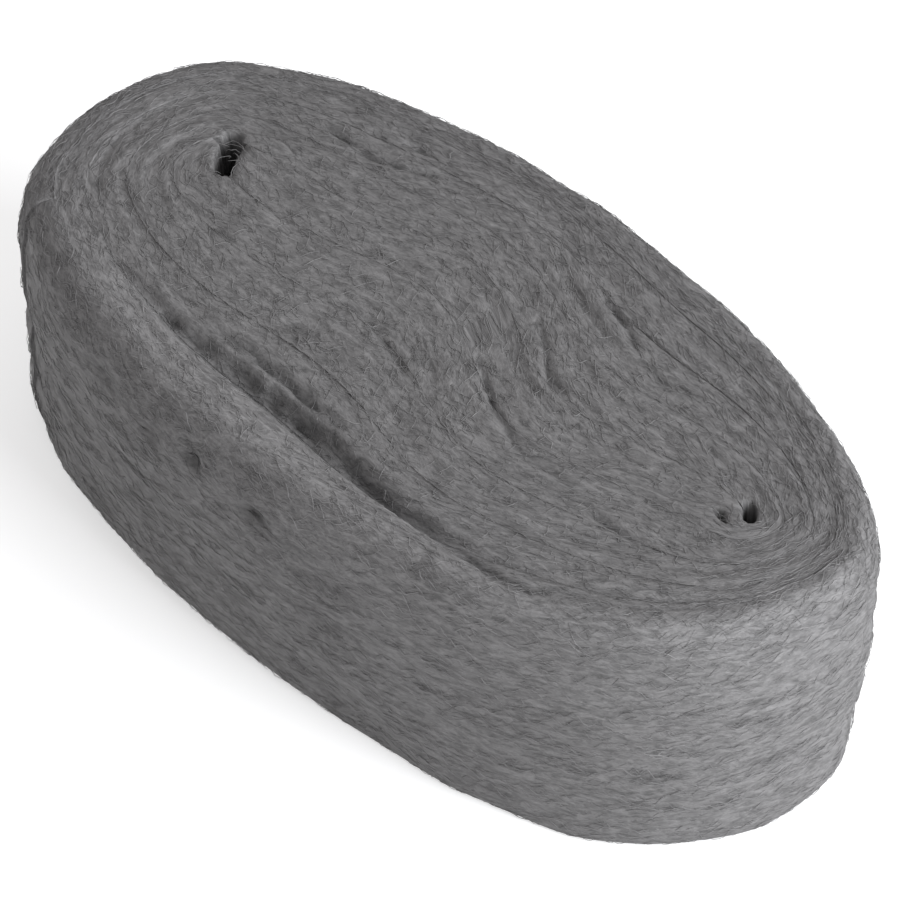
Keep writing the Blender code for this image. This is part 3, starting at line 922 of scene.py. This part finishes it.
def ramp(nodes, stops):
    """Colour ramp with slightly warm greys at given places."""
    node = nodes.new("ShaderNodeValToRGB")
    while len(node.color_ramp.elements) < len(stops):
        node.color_ramp.elements.new(0.5)
    for element, (place, grey) in zip(node.color_ramp.elements, stops):
        element.position = place
        element.color = (*(grey * part for part in WARM), 1.0)
    return node


def attribute(nodes, name):
    """Node that reads one of the mesh's own values."""
    node = nodes.new("ShaderNodeAttribute")
    node.attribute_name = name
    return node


def colour_with_painted_light(nodes, links, colour):
    """The colour times the painted shade and highlight that the mesh holds for each point."""
    product = nodes.new("ShaderNodeVectorMath")
    product.operation = "SCALE"
    links.new(colour.outputs["Color"], product.inputs[0])
    links.new(attribute(nodes, "painted_light").outputs["Fac"], product.inputs["Scale"])
    return product.outputs["Vector"]


def wool_surface(name, metallic, roughness):
    """New material, with its nodes, its links and its Principled shader."""
    material = bpy.data.materials.new(name)
    material.use_nodes = True
    surface = material.node_tree.nodes["Principled BSDF"]
    surface.inputs["Metallic"].default_value = metallic
    surface.inputs["Roughness"].default_value = roughness
    return material, material.node_tree.nodes, material.node_tree.links, surface


def body_material():
    """Packed wool: grey and bump follow 0.6 x coarse streaks + 0.4 x fine streaks."""
    material, nodes, links, surface = wool_surface(
        "packed_wool", BODY_METALLIC, BODY_ROUGHNESS)
    lay = attribute(nodes, "lay")
    coarse = streaks(nodes, links, lay, *COARSE_STREAKS)
    fine = streaks(nodes, links, lay, *FINE_STREAKS)
    both = nodes.new("ShaderNodeMath")
    both.operation = "MULTIPLY_ADD"
    both.inputs[1].default_value = COARSE_SHARE
    weaker = nodes.new("ShaderNodeMath")
    weaker.operation = "MULTIPLY"
    weaker.inputs[1].default_value = FINE_SHARE
    links.new(fine.outputs["Streak"], weaker.inputs[0])
    links.new(coarse.outputs["Streak"], both.inputs[0])
    links.new(weaker.outputs["Value"], both.inputs[2])
    colour = ramp(nodes, BODY_GREYS)
    links.new(both.outputs["Value"], colour.inputs["Fac"])
    links.new(colour_with_painted_light(nodes, links, colour), surface.inputs["Base Color"])
    bump = nodes.new("ShaderNodeBump")
    bump.inputs["Strength"].default_value = BUMP_STRENGTH
    bump.inputs["Distance"].default_value = BUMP_HEIGHT
    links.new(both.outputs["Value"], bump.inputs["Height"])
    links.new(bump.outputs["Normal"], surface.inputs["Normal"])
    return material


def fibre_material():
    """Steel fibre: the grey follows the brightness that each fibre was given."""
    material, nodes, links, surface = wool_surface(
        "steel_fibre", FIBRE_METALLIC, FIBRE_ROUGHNESS)
    colour = ramp(nodes, FIBRE_GREYS)
    links.new(attribute(nodes, "shade").outputs["Fac"], colour.inputs["Fac"])
    links.new(colour_with_painted_light(nodes, links, colour), surface.inputs["Base Color"])
    return material


packed_wool, steel_fibre = body_material(), fibre_material()
fibre_pieces = [upper_fibres, more_upper, lower_fibres, side_fibres, more_side, rim_fibres]
wool_band.data.materials.append(packed_wool)
for piece in fibre_pieces:
    piece.data.materials.append(steel_fibre)
print("materials:", packed_wool.name, steel_fibre.name)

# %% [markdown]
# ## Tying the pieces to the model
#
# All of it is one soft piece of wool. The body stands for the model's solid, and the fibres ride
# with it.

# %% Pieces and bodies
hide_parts("wound_wool")
print("pieces:", 1 + len(fibre_pieces))
for piece in [wool_band, *fibre_pieces]:
    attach(piece, "root")

# %% [markdown]
# ## Floor, light and camera
#
# The photograph is a product shot on white, lit softly from the right and from above. A pale
# floor, an even sky and one large lamp on the right give that. The camera stands far off with a
# long lens, which keeps the hank's sides nearly parallel, as in the photograph.

# %% Floor and light
SKY_STRENGTH, LAMP_POWER = 0.62, 44.0
FLOOR_GREY, FLOOR_GLOW, FLOOR_ROUGHNESS, FLOOR_SPECULAR = 0.68, 0.5, 0.9, 0.1
FLOOR_HALF, FLOOR_DROP = 6.0, 0.0002
SKY_COLOUR, LAMP_COLOUR = (1.0, 0.985, 0.99, 1), (0.95, 0.975, 1.0)
LAMP_PLACE, LAMP_AIM, LAMP_SIZE = (1.4, 0.21, 0.71), (0, 0, 0.02), 1.1
FLOOR_SIDES = ((-1, -1), (1, -1), (1, 1), (-1, 1))
floor_corners = [(x * FLOOR_HALF, y * FLOOR_HALF, 0) for x, y in FLOOR_SIDES]
floor_mesh = bpy.data.meshes.new("floor")
floor_mesh.from_pydata(floor_corners, [], [(0, 1, 2, 3)])
floor = bpy.data.objects.new("floor", floor_mesh)
bpy.context.scene.collection.objects.link(floor)
floor.location.z = -FLOOR_DROP
floor_paint = bpy.data.materials.new("floor_paint")
floor_paint.use_nodes = True
floor_surface = floor_paint.node_tree.nodes["Principled BSDF"]
floor_surface.inputs["Base Color"].default_value = (FLOOR_GREY, FLOOR_GREY, FLOOR_GREY, 1)
floor_surface.inputs["Roughness"].default_value = FLOOR_ROUGHNESS
floor_surface.inputs["Specular IOR Level"].default_value = FLOOR_SPECULAR
floor_surface.inputs["Emission Strength"].default_value = FLOOR_GLOW
floor_nodes, floor_links = floor_paint.node_tree.nodes, floor_paint.node_tree.links
# The floor glows only for rays that see it straight, in a mirror or through glass, so it looks
# white and keeps the hank's shadow, and its glow doesn't light the hank's soft parts
light_path = floor_nodes.new("ShaderNodeLightPath")
seen = light_path.outputs["Is Camera Ray"]
for ray in ("Is Glossy Ray", "Is Transmission Ray"):
    either = floor_nodes.new("ShaderNodeMath")
    either.operation = "MAXIMUM"
    floor_links.new(seen, either.inputs[0])
    floor_links.new(light_path.outputs[ray], either.inputs[1])
    seen = either.outputs["Value"]
floor_links.new(seen, floor_surface.inputs["Emission Color"])
floor_mesh.materials.append(floor_paint)

world = bpy.data.worlds.new("sky")
world.use_nodes = True
bpy.context.scene.world = world
sky = world.node_tree.nodes["Background"]
sky.inputs["Color"].default_value = SKY_COLOUR
sky.inputs["Strength"].default_value = SKY_STRENGTH


def soft_lamp(name, place, aim, size, power):
    """Square lamp at a place, turned towards its aim."""
    lamp = bpy.data.lights.new(name, "AREA")
    lamp.size = size
    lamp.energy = power
    lamp.color = LAMP_COLOUR
    thing = bpy.data.objects.new(name, lamp)
    thing.location = place
    thing.rotation_euler = (Vector(aim) - Vector(place)).to_track_quat("-Z", "Y").to_euler()
    bpy.context.scene.collection.objects.link(thing)


soft_lamp("key_lamp", LAMP_PLACE, LAMP_AIM, LAMP_SIZE, LAMP_POWER)
print("sky and lamp:", SKY_STRENGTH, LAMP_POWER)

# %% Camera
FRAME_PIXELS = 900
SENSOR, CLIP_END = 36.0, 30.0
CAMERA_AZIMUTH, CAMERA_ELEVATION, CAMERA_ROLL = 45.3, 44.95, 0.7
CAMERA_DISTANCE = 1.1
PIXELS_PER_METRE = 5345.0
TARGET_PIXEL = (437.7, 450.1)

turn, tilt, roll = np.radians([CAMERA_AZIMUTH, CAMERA_ELEVATION, CAMERA_ROLL])
back = np.array([np.sin(turn) * np.cos(tilt), -np.cos(turn) * np.cos(tilt), np.sin(tilt)])
level_right = np.array([np.cos(turn), np.sin(turn), 0.0])
level_up = np.cross(back, level_right)
right = level_right * np.cos(roll) + level_up * np.sin(roll)
up = level_up * np.cos(roll) - level_right * np.sin(roll)
off_right = (FRAME_PIXELS / 2 - TARGET_PIXEL[0]) / PIXELS_PER_METRE
off_up = (TARGET_PIXEL[1] - FRAME_PIXELS / 2) / PIXELS_PER_METRE
aim = np.array([0, 0, HEIGHT / 2]) + right * off_right + up * off_up
place = aim + back * CAMERA_DISTANCE
camera_data = bpy.data.cameras.new("camera")
camera_data.sensor_width = SENSOR
camera_data.lens = PIXELS_PER_METRE * CAMERA_DISTANCE / FRAME_PIXELS * SENSOR
camera_data.clip_end = CLIP_END
camera = bpy.data.objects.new("camera", camera_data)
camera.matrix_world = Matrix((
    (right[0], up[0], back[0], place[0]),
    (right[1], up[1], back[1], place[1]),
    (right[2], up[2], back[2], place[2]),
    (0, 0, 0, 1)))
bpy.context.scene.collection.objects.link(camera)
bpy.context.scene.camera = camera
bpy.context.scene.view_settings.view_transform = "Standard"
print("lens in mm:", round(camera_data.lens, 1))
